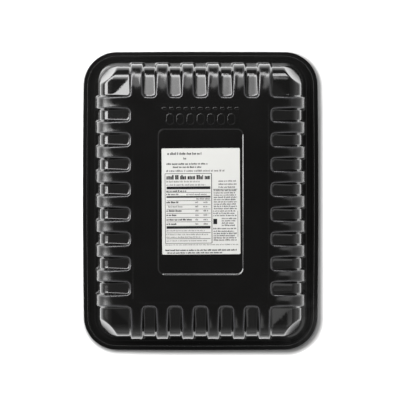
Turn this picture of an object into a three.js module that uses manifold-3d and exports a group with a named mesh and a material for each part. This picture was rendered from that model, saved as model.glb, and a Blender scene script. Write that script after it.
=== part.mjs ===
// A sealed thermoformed tray pack, lying with its film side down and its base up.
// The pack is shut, so the tray is one solid body. A paper label lies in a shallow
// panel of the base, and a thin film closes the underside. Millimetres, +Z up, the
// origin under the middle of the film, X across the pack and Y along it.

import * as THREE from 'three';
import { mergeVertices } from 'three/addons/utils/BufferGeometryUtils.js';
import Module from 'manifold-3d';

const wasm = await Module();
wasm.setup();

// Whole pack
const PACK_WIDTH = 178;
const PACK_LENGTH = 225.5;
const PACK_HEIGHT = 38;

// Closing film
const FILM_THICKNESS = 0.2;
const FILM_INSET = 0.5;

// Flange round the mouth, with a low bead on it and a lower rim along its edge
const FLANGE_BOTTOM = 0.3;
const FLANGE_TOP = 2.4;
const FLANGE_RADIUS = 25;
const FLANGE_BOW_LONG = 0.7;
const FLANGE_BOW_SHORT = 0.25;
const FLANGE_EDGE = 0.5;
const RIM_WIDTH = 2.2;
const RIM_TOP = 1.7;
const BEAD_TOP = 2.8;
const BEAD_WIDTH = 1.4;
const BEAD_SLOPE = 1.3;

// Low ledge that the wall stands on
const LEDGE_TOP = 2.9;
const LEDGE_MARGIN = 0.7;
const LEDGE_SLOPE = 0.4;

// Wall at the ribs; a foot is where the round at the bottom of a wall ends
const WALL_DRAFT = THREE.MathUtils.degToRad(3);
const RIB_FOOT_X = 79.7;
const RIB_FOOT_Y = 105.1;
const RIB_SHOULDER = 12;
const FOOT_ROUND = 1;
const CROWN_DROP = 1;
const CROWN_WIDTH = 21.4;
const FOOT_CORNER_RADIUS = 16;
const CORNER_TIGHTENING = 0.55;

// Pockets between the ribs
const POCKET_FOOT_X = 77.6;
const POCKET_FOOT_Y = 103;
const POCKET_REACH = 25.1;
const POCKET_SLOPE = THREE.MathUtils.degToRad(8.5);
const POCKET_SHOULDER = 10;
const POCKET_END_DEPTH = 1.1;
const POCKET_FLANK = 3.4;
const END_STEP = 1.2;

const RIB_WIDTH = 9.5;
const LONG_SIDE_RIBS = 9;
const LONG_SIDE_PITCH = 18.45;
const SHORT_SIDE_RIBS = 6;
const SHORT_SIDE_PITCH = 19.05;

// Corners: a flat band at pocket depth, a ramp towards the middle of the base, and
// a steep diagonal facet that runs down into a round corner of the wall
const CORNER_FLOOR = 35.1;
const CORNER_RADIUS = 15.4;
const CORNER_PLAN_ROUND = 2;
const CORNER_FLANK = 1.45;
const RAMP_START = 92.4;
const RAMP_END = 102;
const RAMP_DROP = 1.8;
const FACET_TOP = 112.8;
const FACET_LEAN = THREE.MathUtils.degToRad(20);

// Panel in the base and the label in it
const PANEL_WIDTH = 63;
const PANEL_LENGTH = 108;
const PANEL_DEPTH = 0.45;
const PANEL_RADIUS = 4.5;
const LABEL_WIDTH = 58.6;
const LABEL_LENGTH = 79.7;
const LABEL_THICKNESS = 0.2;
const LABEL_RADIUS = 0.9;
const LABEL_GAP = 0.1;
const LABEL_SHIFT_X = 0.3;
const LABEL_TURN = THREE.MathUtils.degToRad(0.4);

// Steps in curves, and lengths that only have to reach clear of the pack
const CORNER_STEPS = 4;
const SIDE_STEPS = 4;
const SHOULDER_STEPS = 5;
const FOOT_STEPS = 3;
const CLEAR = 12;
const LONG_CUT = 120;

const plastic = new THREE.MeshStandardMaterial({ color: 0x0c0c0d, roughness: 0.22, metalness: 0 });
const paper = new THREE.MeshStandardMaterial({ color: 0xeeede8, roughness: 0.75, metalness: 0 });
const film = new THREE.MeshStandardMaterial({ color: 0x8f9496, roughness: 0.3, metalness: 0 });

function merged(geometry) {
  geometry.deleteAttribute('normal');
  geometry.deleteAttribute('uv');
  return mergeVertices(geometry, 1e-5);
}

function toSolid(geometry) {
  const closed = merged(geometry);
  return new wasm.Manifold(new wasm.Mesh({
    numProp: 3,
    vertProperties: new Float32Array(closed.attributes.position.array),
    triVerts: new Uint32Array(closed.index.array),
  }));
}

function toGeometry(solid) {
  const mesh = solid.getMesh();
  const geometry = new THREE.BufferGeometry();
  geometry.setAttribute('position', new THREE.BufferAttribute(new Float32Array(mesh.vertProperties), 3));
  geometry.setIndex(new THREE.BufferAttribute(new Uint32Array(mesh.triVerts), 1));
  geometry.computeVertexNormals();
  return geometry;
}

// A rectangle with round corners; its sides may bow outward in the middle.
function roundedRectangle(halfX, halfY, radius, bowX = 0, bowY = 0, x = 0, y = 0) {
  const right = halfX - bowX;
  const top = halfY - bowY;
  const cornerX = right - radius;
  const cornerY = top - radius;
  const shape = new THREE.Shape();
  shape.moveTo(x + right, y - cornerY);
  shape.quadraticCurveTo(x + right + 2 * bowX, y, x + right, y + cornerY);
  shape.absarc(x + cornerX, y + cornerY, radius, 0, Math.PI / 2, false);
  shape.quadraticCurveTo(x, y + top + 2 * bowY, x - cornerX, y + top);
  shape.absarc(x - cornerX, y + cornerY, radius, Math.PI / 2, Math.PI, false);
  shape.quadraticCurveTo(x - right - 2 * bowX, y, x - right, y - cornerY);
  shape.absarc(x - cornerX, y - cornerY, radius, Math.PI, 1.5 * Math.PI, false);
  shape.quadraticCurveTo(x, y - top - 2 * bowY, x + cornerX, y - top);
  shape.absarc(x + cornerX, y - cornerY, radius, 1.5 * Math.PI, 2 * Math.PI, false);
  return shape;
}

// A closed solid through rings of equal point count, from the lowest to the highest.
function loft(rings, steps) {
  const outlines = rings.map((ring) => {
    const points = ring.shape.getPoints(steps);
    return points.filter((p, i) => p.distanceTo(points.at(i - 1)) > 1e-6);
  });
  const count = outlines[0].length;
  const positions = outlines.flatMap((points, i) => points.flatMap((p) => [p.x, p.y, rings[i].z]));
  const index = [];
  for (let i = 0; i + 1 < rings.length; i += 1) {
    for (let j = 0; j < count; j += 1) {
      const a = i * count + j;
      const b = i * count + (j + 1) % count;
      index.push(a, b, b + count, a, b + count, a + count);
    }
  }
  const last = (rings.length - 1) * count;
  for (const [a, b, c] of THREE.ShapeUtils.triangulateShape(outlines[0], [])) {
    index.push(a, c, b);
  }
  for (const [a, b, c] of THREE.ShapeUtils.triangulateShape(outlines.at(-1), [])) {
    index.push(last + a, last + b, last + c);
  }
  const geometry = new THREE.BufferGeometry();
  geometry.setAttribute('position', new THREE.Float32BufferAttribute(positions, 3));
  geometry.setIndex(index);
  return geometry;
}

// Points of the arc that rounds the corner between two straight lines.
function roundedCorner(before, corner, after, radius, steps) {
  const back = before.clone().sub(corner).normalize();
  const ahead = after.clone().sub(corner).normalize();
  const half = Math.acos(back.dot(ahead)) / 2;
  const middle = back.clone().add(ahead).normalize();
  const centre = corner.clone().addScaledVector(middle, radius / Math.sin(half));
  const start = corner.clone().addScaledVector(back, radius / Math.tan(half)).sub(centre);
  const end = corner.clone().addScaledVector(ahead, radius / Math.tan(half)).sub(centre);
  const turn = start.cross(end) > 0 ? 1 : -1;
  const sweep = turn * Math.acos(start.dot(end) / radius ** 2);
  const points = [];
  for (let i = 0; i <= steps; i += 1) {
    points.push(centre.clone().add(start.clone().rotateAround(new THREE.Vector2(), sweep * i / steps)));
  }
  return points;
}

// A profile drawn in (distance from the middle, height), extruded across that
// direction, and turned to face the given angle in plan.
function acrossSolid(points, length, facing, flank = 0) {
  const geometry = new THREE.ExtrudeGeometry(new THREE.Shape(points), {
    depth: length,
    bevelEnabled: flank > 0,
    bevelThickness: flank,
    bevelSize: flank,
    bevelOffset: -flank,
    bevelSegments: 1,
  });
  geometry.translate(0, 0, -length / 2);
  geometry.rotateX(Math.PI / 2);
  return geometry.rotateZ(facing);
}

// Where the straight part of a wall would be at height z, for a foot that ends at the given place
function wallAt(foot, z) {
  const bottom = foot - FOOT_ROUND * Math.tan(Math.PI / 4 - WALL_DRAFT / 2);
  return new THREE.Vector2(bottom - (z - LEDGE_TOP) * Math.tan(WALL_DRAFT), z);
}

// The round between the ledge and a wall, from the ledge upward
function footRound(foot) {
  const ledge = new THREE.Vector2(foot + CLEAR, LEDGE_TOP);
  return roundedCorner(ledge, wallAt(foot, LEDGE_TOP), wallAt(foot, PACK_HEIGHT), FOOT_ROUND, FOOT_STEPS);
}

// The outer wall with its round foot and rolled shoulder, as rings of shrinking size
function wallRings() {
  const tip = wallAt(0, PACK_HEIGHT - CROWN_DROP);
  const inside = new THREE.Vector2(tip.x - CROWN_WIDTH, PACK_HEIGHT);
  const profile = [
    ...footRound(0),
    ...roundedCorner(wallAt(0, LEDGE_TOP), tip, inside, RIB_SHOULDER, SHOULDER_STEPS),
    inside,
  ];
  return profile.map((p) => {
    const radius = FOOT_CORNER_RADIUS + CORNER_TIGHTENING * p.x;
    return { z: p.y, shape: roundedRectangle(RIB_FOOT_X + p.x, RIB_FOOT_Y + p.x, radius) };
  });
}

function bodySolid() {
  const edge = LEDGE_MARGIN + LEDGE_SLOPE;
  const ledge = [
    [edge, FLANGE_BOTTOM + FLANGE_EDGE],
    [edge, FLANGE_TOP],
    [LEDGE_MARGIN, LEDGE_TOP],
  ].map(([margin, z]) => ({
    z,
    shape: roundedRectangle(RIB_FOOT_X + margin, RIB_FOOT_Y + margin, FOOT_CORNER_RADIUS + margin),
  }));
  return toSolid(loft([...ledge, ...wallRings()], CORNER_STEPS));
}

function flangeOutline(inset) {
  return roundedRectangle(
    PACK_WIDTH / 2 - inset,
    PACK_LENGTH / 2 - inset,
    FLANGE_RADIUS - inset,
    FLANGE_BOW_LONG,
    FLANGE_BOW_SHORT,
  );
}

function flangeSolid() {
  const rings = [
    [FLANGE_EDGE, FLANGE_BOTTOM],
    [0, FLANGE_BOTTOM + FLANGE_EDGE],
    [0, RIM_TOP - FLANGE_EDGE],
    [FLANGE_EDGE, RIM_TOP],
    [RIM_WIDTH, RIM_TOP],
    [RIM_WIDTH + BEAD_SLOPE, BEAD_TOP],
    [RIM_WIDTH + BEAD_SLOPE + BEAD_WIDTH, BEAD_TOP],
    [RIM_WIDTH + 2 * BEAD_SLOPE + BEAD_WIDTH, FLANGE_TOP],
  ].map(([inset, z]) => ({ z, shape: flangeOutline(inset) }));
  return toSolid(loft(rings, SIDE_STEPS));
}

// Everything above a pocket's floor, shoulder and wall, as a profile to cut with
function pocketProfile(foot) {
  const inner = foot - POCKET_REACH;
  const floorStart = new THREE.Vector2(inner + END_STEP / 2, PACK_HEIGHT - POCKET_END_DEPTH);
  const slope = Math.tan(POCKET_SLOPE);
  const reach = wallAt(foot, floorStart.y).x - floorStart.x;
  const drop = slope * reach / (1 - slope * Math.tan(WALL_DRAFT));
  const corner = wallAt(foot, floorStart.y - drop);
  const bottom = wallAt(foot, LEDGE_TOP - CLEAR);
  const outer = foot + 3 * CLEAR;
  const high = PACK_HEIGHT + CLEAR;
  return [
    new THREE.Vector2(inner - CLEAR, high),
    new THREE.Vector2(inner - END_STEP / 2 - 1, PACK_HEIGHT + 1),
    floorStart,
    ...roundedCorner(floorStart, corner, bottom, POCKET_SHOULDER, SHOULDER_STEPS),
    bottom,
    new THREE.Vector2(outer, bottom.y),
    new THREE.Vector2(outer, high),
  ];
}

// The pockets of one side, between its ribs
function sidePockets(foot, ribs, pitch, facing) {
  const width = pitch - RIB_WIDTH - POCKET_FLANK;
  const profile = pocketProfile(foot);
  const cutters = [];
  for (let i = 0; i + 1 < ribs; i += 1) {
    const along = (i + 1 - ribs / 2) * pitch;
    const geometry = acrossSolid(profile, width, 0, POCKET_FLANK);
    geometry.translate(0, along, 0);
    geometry.rotateZ(facing);
    cutters.push(toSolid(geometry));
  }
  return cutters;
}

// A solid whose rings lie outside or inside the foot of the pockets' walls, one for each point
function pocketRings(profile) {
  return toSolid(loft(profile.map((p) => ({
    z: p.y,
    shape: roundedRectangle(POCKET_FOOT_X + p.x, POCKET_FOOT_Y + p.x, CORNER_RADIUS + p.x),
  })), CORNER_STEPS));
}

// The round foot of the pockets' and corners' walls
function pocketFeet() {
  return pocketRings([new THREE.Vector2(0, FLANGE_BOTTOM + FLANGE_EDGE), ...footRound(0)]);
}

// What stands in a corner: both walls with their shoulders, cut by the diagonal
function cornerSolid() {
  const wall = (foot) => {
    const bottom = wallAt(foot, 0);
    const tip = wallAt(foot, CORNER_FLOOR);
    const level = new THREE.Vector2(tip.x - 2 * CLEAR, CORNER_FLOOR);
    return [
      bottom,
      ...roundedCorner(bottom, tip, level, POCKET_SHOULDER, SHOULDER_STEPS),
      level,
      new THREE.Vector2(0, CORNER_FLOOR + CLEAR / 4),
      new THREE.Vector2(0, 0),
    ];
  };
  const rise = RAMP_DROP / (RAMP_END - RAMP_START);
  const diagonal = [
    new THREE.Vector2(FACET_TOP + CORNER_FLOOR * Math.tan(FACET_LEAN), 0),
    new THREE.Vector2(FACET_TOP, CORNER_FLOOR),
    new THREE.Vector2(RAMP_END, CORNER_FLOOR),
    new THREE.Vector2(RAMP_START - CLEAR, CORNER_FLOOR + RAMP_DROP + CLEAR * rise),
    new THREE.Vector2(RAMP_START - CLEAR, 0),
  ];
  return toSolid(acrossSolid(wall(POCKET_FOOT_X), 2 * LONG_CUT, 0))
    .intersect(toSolid(acrossSolid(wall(POCKET_FOOT_Y), 2 * LONG_CUT, Math.PI / 2)))
    .intersect(toSolid(acrossSolid(diagonal, LONG_CUT, Math.PI / 4)))
    .intersect(pocketRings([wallAt(0, 0), wallAt(0, PACK_HEIGHT + CLEAR)]));
}

// Everything to take away in the corner where x and y are positive
function cornerCutter() {
  const ribEdgeX = (SHORT_SIDE_RIBS - 1) / 2 * SHORT_SIDE_PITCH + RIB_WIDTH / 2;
  const ribEdgeY = (LONG_SIDE_RIBS - 1) / 2 * LONG_SIDE_PITCH + RIB_WIDTH / 2;
  const half = 2 * CLEAR;
  const rings = [
    [CORNER_FLANK, LEDGE_TOP],
    [CORNER_FLANK, CORNER_FLOOR],
    [-CORNER_FLANK, CORNER_FLOOR + 2 * CORNER_FLANK],
    [-CORNER_FLANK, PACK_HEIGHT + CLEAR],
  ].map(([inset, z]) => ({
    z,
    shape: roundedRectangle(
      half - inset,
      half - inset,
      CORNER_PLAN_ROUND,
      0,
      0,
      ribEdgeX + half,
      ribEdgeY + half,
    ),
  }));
  return toSolid(loft(rings, 2)).subtract(cornerSolid());
}

// The same solid in each of the four corners
function inEachCorner(solid) {
  const signs = [[1, 1], [-1, 1], [-1, -1], [1, -1]];
  return signs.map(([sx, sy]) => {
    const geometry = toGeometry(solid);
    geometry.scale(sx, sy, 1);
    if (sx * sy < 0) {
      const index = geometry.index.array;
      for (let i = 0; i < index.length; i += 3) {
        [index[i], index[i + 1]] = [index[i + 1], index[i]];
      }
    }
    return toSolid(geometry);
  });
}

// The panel's sides slope at 45 degrees, and its size is taken half way up them.
function panelCutter() {
  const rings = [
    [-0.5 * PANEL_DEPTH, PACK_HEIGHT - PANEL_DEPTH],
    [1.5 * PANEL_DEPTH, PACK_HEIGHT + PANEL_DEPTH],
  ].map(([grow, z]) => ({
    z,
    shape: roundedRectangle(PANEL_WIDTH / 2 + grow, PANEL_LENGTH / 2 + grow, PANEL_RADIUS + grow),
  }));
  return toSolid(loft(rings, CORNER_STEPS));
}

function trayGeometry() {
  const cutters = [
    ...sidePockets(POCKET_FOOT_X, LONG_SIDE_RIBS, LONG_SIDE_PITCH, 0),
    ...sidePockets(POCKET_FOOT_X, LONG_SIDE_RIBS, LONG_SIDE_PITCH, Math.PI),
    ...sidePockets(POCKET_FOOT_Y, SHORT_SIDE_RIBS, SHORT_SIDE_PITCH, Math.PI / 2),
    ...sidePockets(POCKET_FOOT_Y, SHORT_SIDE_RIBS, SHORT_SIDE_PITCH, -Math.PI / 2),
    ...inEachCorner(cornerCutter()),
  ];
  const belowLedge = new THREE.BoxGeometry(2 * PACK_WIDTH, 2 * PACK_LENGTH, CLEAR);
  belowLedge.translate(0, 0, LEDGE_TOP - CLEAR / 2);
  const cut = cutters.reduce((all, cutter) => all.add(cutter)).subtract(toSolid(belowLedge));
  const tray = bodySolid().subtract(cut).subtract(panelCutter()).add(pocketFeet()).add(flangeSolid());
  return toGeometry(tray);
}

function plate(shape, thickness) {
  const options = { depth: thickness, bevelEnabled: false, curveSegments: SIDE_STEPS };
  return new THREE.ExtrudeGeometry(shape, options);
}

const pack = new THREE.Group();

const tray = new THREE.Mesh(trayGeometry(), plastic);
tray.name = 'tray';
pack.add(tray);

const label = new THREE.Mesh(
  plate(roundedRectangle(LABEL_WIDTH / 2, LABEL_LENGTH / 2, LABEL_RADIUS), LABEL_THICKNESS),
  paper,
);
label.name = 'base_label';
label.position.set(LABEL_SHIFT_X, 0, PACK_HEIGHT - PANEL_DEPTH + LABEL_GAP);
label.rotation.z = LABEL_TURN;
pack.add(label);

const lid = new THREE.Mesh(plate(flangeOutline(FILM_INSET), FILM_THICKNESS), film);
lid.name = 'lid_film';
pack.add(lid);

export default pack;
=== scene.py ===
import math
import random

import bmesh
import bpy
import numpy as np
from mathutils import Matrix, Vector


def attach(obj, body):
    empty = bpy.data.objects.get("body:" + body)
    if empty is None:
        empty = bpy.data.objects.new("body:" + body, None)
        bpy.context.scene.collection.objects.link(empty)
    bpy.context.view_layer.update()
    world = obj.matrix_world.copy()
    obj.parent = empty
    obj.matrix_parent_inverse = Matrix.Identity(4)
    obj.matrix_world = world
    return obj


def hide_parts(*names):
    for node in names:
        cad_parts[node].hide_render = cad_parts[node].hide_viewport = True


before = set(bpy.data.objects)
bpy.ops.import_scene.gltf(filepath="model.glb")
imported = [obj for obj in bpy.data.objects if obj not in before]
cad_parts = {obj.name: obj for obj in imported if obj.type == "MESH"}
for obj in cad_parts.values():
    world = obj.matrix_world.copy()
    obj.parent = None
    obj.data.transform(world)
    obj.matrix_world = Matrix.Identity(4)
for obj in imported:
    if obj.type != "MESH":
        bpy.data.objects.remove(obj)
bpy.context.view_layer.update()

MM = 0.001

# Heights of the tray, in millimetres
BASE_Z = 37.85
LEDGE_Z = 2.9
FLANGE_Z = 2.4
UNDER_Z = 0.3

# Plan of the base: the short sides' walls stand further out by a fixed amount
SHORT_SHIFT = 25.4
RING_X, RING_Y = 48.6, 74.0
CONTOUR_X, CONTOUR_Y, CONTOUR_R = 50.4, 75.4, 3.7
CONTOUR_STEP, CONTOUR_RUN = 0.1, 0.3
PANEL_X, PANEL_Y, PANEL_R = 31.5, 54.0, 4.5
PANEL_DEPTH = 0.45
PANEL_RUN = 0.85
PANEL_EASE = 0.3
PANEL_EDGE = 0.8
# Rows across the panel's edge, as shares of its half width, and rows between it and the inner ring
PANEL_PARTS = [1.0, 0.86, 0.74, 0.62, 0.5, 0.4, 0.0, -0.4, -0.5, -0.62, -0.74, -0.86, -1.0]
RING_PARTS = [0.35, 0.7]
PANEL_MIDDLE = 0.6

# Ribs and pockets
RIB_HALF = 4.75
FOOT_WIDENING = 0.2
DISH = 0.19
LONG_RIBS, LONG_PITCH = 9, 18.45
SHORT_RIBS, SHORT_PITCH = 6, 19.05
POCKET_END_X, POCKET_END_Y = 52.6, 78.0
POCKET_END_DEPTH = 1.1
POCKET_SLOPE = math.tan(math.radians(8.5))
FLANK_SLOPE = 1.35
EASE = 0.85
WALL_EASE = 1.3
END_EASE = 1.1
EDGE_HALF = 0.6
PLAN_ROUND = 2.5
# Where a rib starts to widen and its edges to soften, as drops below the base, and over what reach
WIDEN_START, WIDEN_REACH = 4, 28
SOFTEN_START, SOFTEN_REACH = 2, 10
# The dished face of a rib: its fade at the inner end, and where and how it fades above the foot
DISH_REACH, DISH_FOOT, DISH_FADE = 7, 6, 12

# Walls, placed by where their straight part meets the ledge
RIB_WALL, RIB_SHOULDER = 78.8, 12.0
POCKET_WALL, POCKET_SHOULDER = 76.7, 10.0
DRAFT = math.radians(3.0)
FOOT_ROUND = 0.4
FOOT_REACH = FOOT_ROUND * math.tan(math.pi / 4 - DRAFT / 2)
FOOT_HANDLE = 0.56 * FOOT_REACH
CROWN_DROP, CROWN_WIDTH = 0.5, 11.0

# Corners
CORNER_X, CORNER_Y = 52.375, 78.55
CORNER_Z = 34.95
CORNER_ROUND = 12.8
CORNER_TIGHT, CORNER_POWER = 0.25, 0.8
RAMP_END, RAMP_SLOPE = 102.0, 0.1875
FACET_D, FACET_LEAN, FACET_EDGE = 112.8, math.tan(math.radians(20.0)), 0.7
FACET_BLEND, RAY_BLEND = 0.8, 0.3

# Ledge and flange
LEDGE_X, LEDGE_R = 79.45, 17.05
LEDGE_EDGE = [(0.0, LEDGE_Z), (0.08, LEDGE_Z), (0.5, FLANGE_Z), (0.6, FLANGE_Z)]
HALF_X, HALF_Y, FLANGE_R = 89.0, 112.75, 25.0
BOW_X, BOW_Y = 0.7, 0.25
RIM_SHAPE = [
    (5.45, FLANGE_Z), (5.35, FLANGE_Z), (5.1, 2.65), (5.0, 2.65), (3.2, 2.65), (3.1, 2.65),
    (2.85, FLANGE_Z), (2.75, FLANGE_Z), (0.3, FLANGE_Z), (0.12, FLANGE_Z), (0.03, 2.38), (0.0, 2.32),
    (0.0, 0.65), (0.12, 0.4), (0.5, UNDER_Z),
]
OUTLINE_STEP = 0.02
UNDER_INSET, UNDER_MIDDLE = 6.0, 0.5
# Outlines are found by halving, along rays of these lengths; the film's rays start at the middle
HALVINGS, RAY_REACH, FILM_REACH = 60, 60.0, 200.0


def ramp(x, run, ease):
    """Rises from 0 to 1 over the run, centred on x = 0, with rounded ends."""
    run = np.maximum(run, ease)
    a = (run - ease) / 2
    t = np.abs(x)
    g = np.where(t < a, t, t - np.square(np.clip(t - a, 0, ease)) / (2 * ease)) / run
    g = np.where(t > a + ease, 0.5, g)
    return 0.5 + np.sign(x) * np.minimum(g, 0.5)


def rise(x, start, reach):
    """Grows evenly from 0 to 1 over a reach beyond the start."""
    return np.clip((x - start) / reach, 0, 1)


def box_distance(x, y, cx, cy, radius):
    """Signed distance inside (positive) a quarter plane x > cx, y > cy with a rounded corner."""
    qx, qy = cx + radius - x, cy + radius - y
    outside = np.hypot(np.maximum(qx, 0), np.maximum(qy, 0))
    return radius - outside - np.minimum(np.maximum(qx, qy), 0)


def rounded_box(x, y, hx, hy, radius):
    """Signed distance to a rounded rectangle, positive outside."""
    qx, qy = np.abs(x) - (hx - radius), np.abs(y) - (hy - radius)
    outside = np.hypot(np.maximum(qx, 0), np.maximum(qy, 0))
    return outside + np.minimum(np.maximum(qx, qy), 0) - radius


def smooth_min(a, b, k):
    h = np.maximum(k - np.abs(a - b), 0) / k
    return np.minimum(a, b) - h * h * k / 4


def arc(centre, radius, start, end, count):
    """Points of an arc whose angles are measured from straight up, towards the outside."""
    angles = np.linspace(start, end, count)
    return np.stack([centre[0] + radius * np.sin(angles), centre[1] + radius * np.cos(angles)], 1)


def bezier(p0, p1, p2, p3, count):
    t = np.linspace(0, 1, count)[:, None]
    return (
        (1 - t) ** 3 * p0
        + 3 * t * (1 - t) ** 2 * p1
        + 3 * t * t * (1 - t) * p2
        + t**3 * p3
    )


# Rows of a profile, and the wall's rows as shares of its height from the shoulder down
FLOOR_ROWS, SHOULDER_ROWS, FOOT_ROWS = 6, 14, 3
WALL_PLACES = np.array([0.05, 0.1, 0.16, 0.22, 0.28, 0.34, 0.4, 0.47, 0.6, 1.0])


def profile(floor_at, tilt, radius, wall, crown=False):
    """The way from the base over the shoulder and down the wall to the ledge, as rows of (u, z)."""

    def on_wall(z):
        return wall - (z - LEDGE_Z) * math.tan(DRAFT)

    # The shoulder's centre is found by halving, where both tangents hold.
    end = math.pi / 2 - DRAFT
    low, high = LEDGE_Z, BASE_Z
    for _ in range(HALVINGS):
        cz = (low + high) / 2
        cu = on_wall(cz + radius * math.cos(end)) - radius * math.sin(end)
        start_u, start_z = cu + radius * math.sin(tilt), cz + radius * math.cos(tilt)
        if start_z > floor_at(start_u):
            high = cz
        else:
            low = cz
    shoulder = arc((cu, cz), radius, tilt, end, SHOULDER_ROWS)
    foot_z = LEDGE_Z + FOOT_REACH * math.cos(DRAFT)
    p0 = np.array([on_wall(foot_z), foot_z])
    wall_rows = shoulder[-1] + WALL_PLACES[:, None] * (p0 - shoulder[-1])
    p1 = p0 + FOOT_HANDLE * np.array([math.sin(DRAFT), -math.cos(DRAFT)])
    p3 = np.array([wall + FOOT_REACH, LEDGE_Z])
    foot_rows = bezier(p0, p1, p3 - np.array([FOOT_HANDLE, 0]), p3, FOOT_ROWS + 1)[1:]
    if crown:
        start = start_u - CROWN_WIDTH
        u = np.linspace(start, start_u, FLOOR_ROWS)
        floor = np.stack([u, BASE_Z - CROWN_DROP * ((u - start) / CROWN_WIDTH) ** 2], 1)
    else:
        u = np.linspace(PROFILE_START, start_u, FLOOR_ROWS)
        floor = np.stack([u, [floor_at(v) for v in u]], 1)
    return np.concatenate([floor, shoulder[1:], wall_rows, foot_rows])


crown_tilt = math.atan(2 * CROWN_DROP / CROWN_WIDTH)
rib_curve = profile(lambda u: BASE_Z - CROWN_DROP, crown_tilt, RIB_SHOULDER, RIB_WALL, True)
PROFILE_START = rib_curve[0, 0]
slopes = np.gradient(rib_curve, axis=0)
slopes /= np.hypot(slopes[:, 0], slopes[:, 1])[:, None]
rib_normals = np.stack([-slopes[:, 1], slopes[:, 0]], 1)


def pocket_floor(end):
    return lambda u: BASE_Z - POCKET_END_DEPTH - (u - end) * POCKET_SLOPE


def pocket_curve(end):
    return profile(pocket_floor(end), math.atan(POCKET_SLOPE), POCKET_SHOULDER, POCKET_WALL)


corner_curve = profile(lambda u: CORNER_Z, 0.0, POCKET_SHOULDER, POCKET_WALL)
CURVE_ROWS = len(rib_curve)

# Fan centre of a corner, on the line from the inner ring's corner through that of the corner's floor
FAN_SHARE = 1.5
FAN = np.array([
    RING_X + FAN_SHARE * (CORNER_X - RING_X),
    RING_Y + FAN_SHARE * (CORNER_Y - RING_Y),
])
FAN_RAYS = 42


def corner_floor(x, y):
    d = (np.abs(x) + np.abs(y)) / math.sqrt(2)
    gap = RAMP_END - d
    eased = np.where(gap > EASE, gap, np.square(np.clip(gap + EASE, 0, None)) / (4 * EASE))
    return CORNER_Z + eased * RAMP_SLOPE


def base_height(x, y, long_side):
    """The base between the inner ring and the start of the profiles, by place in plan."""
    ax, ay = np.abs(x), np.abs(y)
    u, s = (ax, ay) if long_side else (ay, ax)
    pitch, ribs = (LONG_PITCH, LONG_RIBS) if long_side else (SHORT_PITCH, SHORT_RIBS)
    end = POCKET_END_X if long_side else POCKET_END_Y
    contour = -rounded_box(x, y, CONTOUR_X, CONTOUR_Y, CONTOUR_R)
    step = CONTOUR_STEP * ramp(contour, CONTOUR_RUN, CONTOUR_RUN)
    # The nearest pocket lies between two ribs; even counts have one at the middle.
    offset = 0.5 if ribs % 2 else 0.0
    near = (np.round(s / pitch - offset) + offset) * pitch
    near = np.clip(near, 0, (ribs / 2 - 1) * pitch)
    half = pitch / 2 - RIB_HALF
    inside = box_distance(u, half - np.abs(s - near), end, 0, PLAN_ROUND)
    depth = POCKET_END_DEPTH + np.maximum(u - end, 0) * POCKET_SLOPE
    pocket = depth * ramp(inside, depth / FLANK_SLOPE, EASE)
    inside = box_distance(ax, ay, CORNER_X, CORNER_Y, PLAN_ROUND)
    depth = BASE_Z - corner_floor(x, y)
    corner = depth * ramp(inside, depth / FLANK_SLOPE, EASE)
    return BASE_Z - step - np.maximum(pocket, corner)


# Rows of the base zone, as places between the inner ring and the profiles' start
BASE_PLACES = np.array([
    0, 1.1, 1.55, 1.8, 2.05, 2.35, 2.8, 3.15, 3.4, 3.6, 3.8, 4.0, 4.2, 4.4,
    4.65, 5.0, 5.5, 6.1, 6.8,
])
BASE_PLACES = BASE_PLACES / BASE_PLACES[-1]
BASE_ROWS = len(BASE_PLACES)
# The row where the stations have reached their final place along the side
BLEND_ROW = 6

# Offsets of the stations across a flank: part of the straight run, then part of the easing
OUTER_SPLIT = [(0.0, 0.0), (1.0, 0.0), (1.0, 0.2), (1.0, 0.4), (1.0, 0.6), (1.0, 0.8), (1.0, 1.0)]
FLANK_SPLIT = [(-a, -b) for a, b in OUTER_SPLIT[:0:-1]] + OUTER_SPLIT
# Stations on a rib's top, as shares of its half, and in a pocket, as shares of the pitch
TOP_PARTS = [0.35, 0.7]
FLAT_PARTS = [-0.09, 0.0, 0.09]
SEAM_STEP = 0.03


def side_stations(long_side):
    """Half a side's stations, from its middle outward, each with its rib, flank and split."""
    pitch, ribs = (LONG_PITCH, LONG_RIBS) if long_side else (SHORT_PITCH, SHORT_RIBS)
    ring = RING_Y if long_side else RING_X
    end = FAN[1] if long_side else FAN[0]
    first = 0.0 if ribs % 2 else 0.5
    centres = [(i + first) * pitch for i in range((ribs + 1) // 2)]
    stations = []
    for k, c in enumerate(centres):
        last = k == len(centres) - 1
        if c > 0:
            stations += [("flank", c, -1, split) for split in reversed(FLANK_SPLIT)]
            stations += [("top", c, -1, part) for part in reversed(TOP_PARTS)]
        stations.append(("flat", ring if last else c, 0, None))
        stations += [("top", c, 1, part) for part in TOP_PARTS]
        stations += [("flank", c, 1, split) for split in FLANK_SPLIT]
        if last:
            stations += [("flat", end - SEAM_STEP, 0, None), ("flat", end, 0, None)]
        else:
            stations += [("flat", c + (0.5 + part) * pitch, 0, None) for part in FLAT_PARTS]
    if not ribs % 2:
        stations = [("flat", part * pitch, 0, None) for part in FLAT_PARTS[1:]] + stations
    return stations, ring, end, centres[-1]


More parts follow.
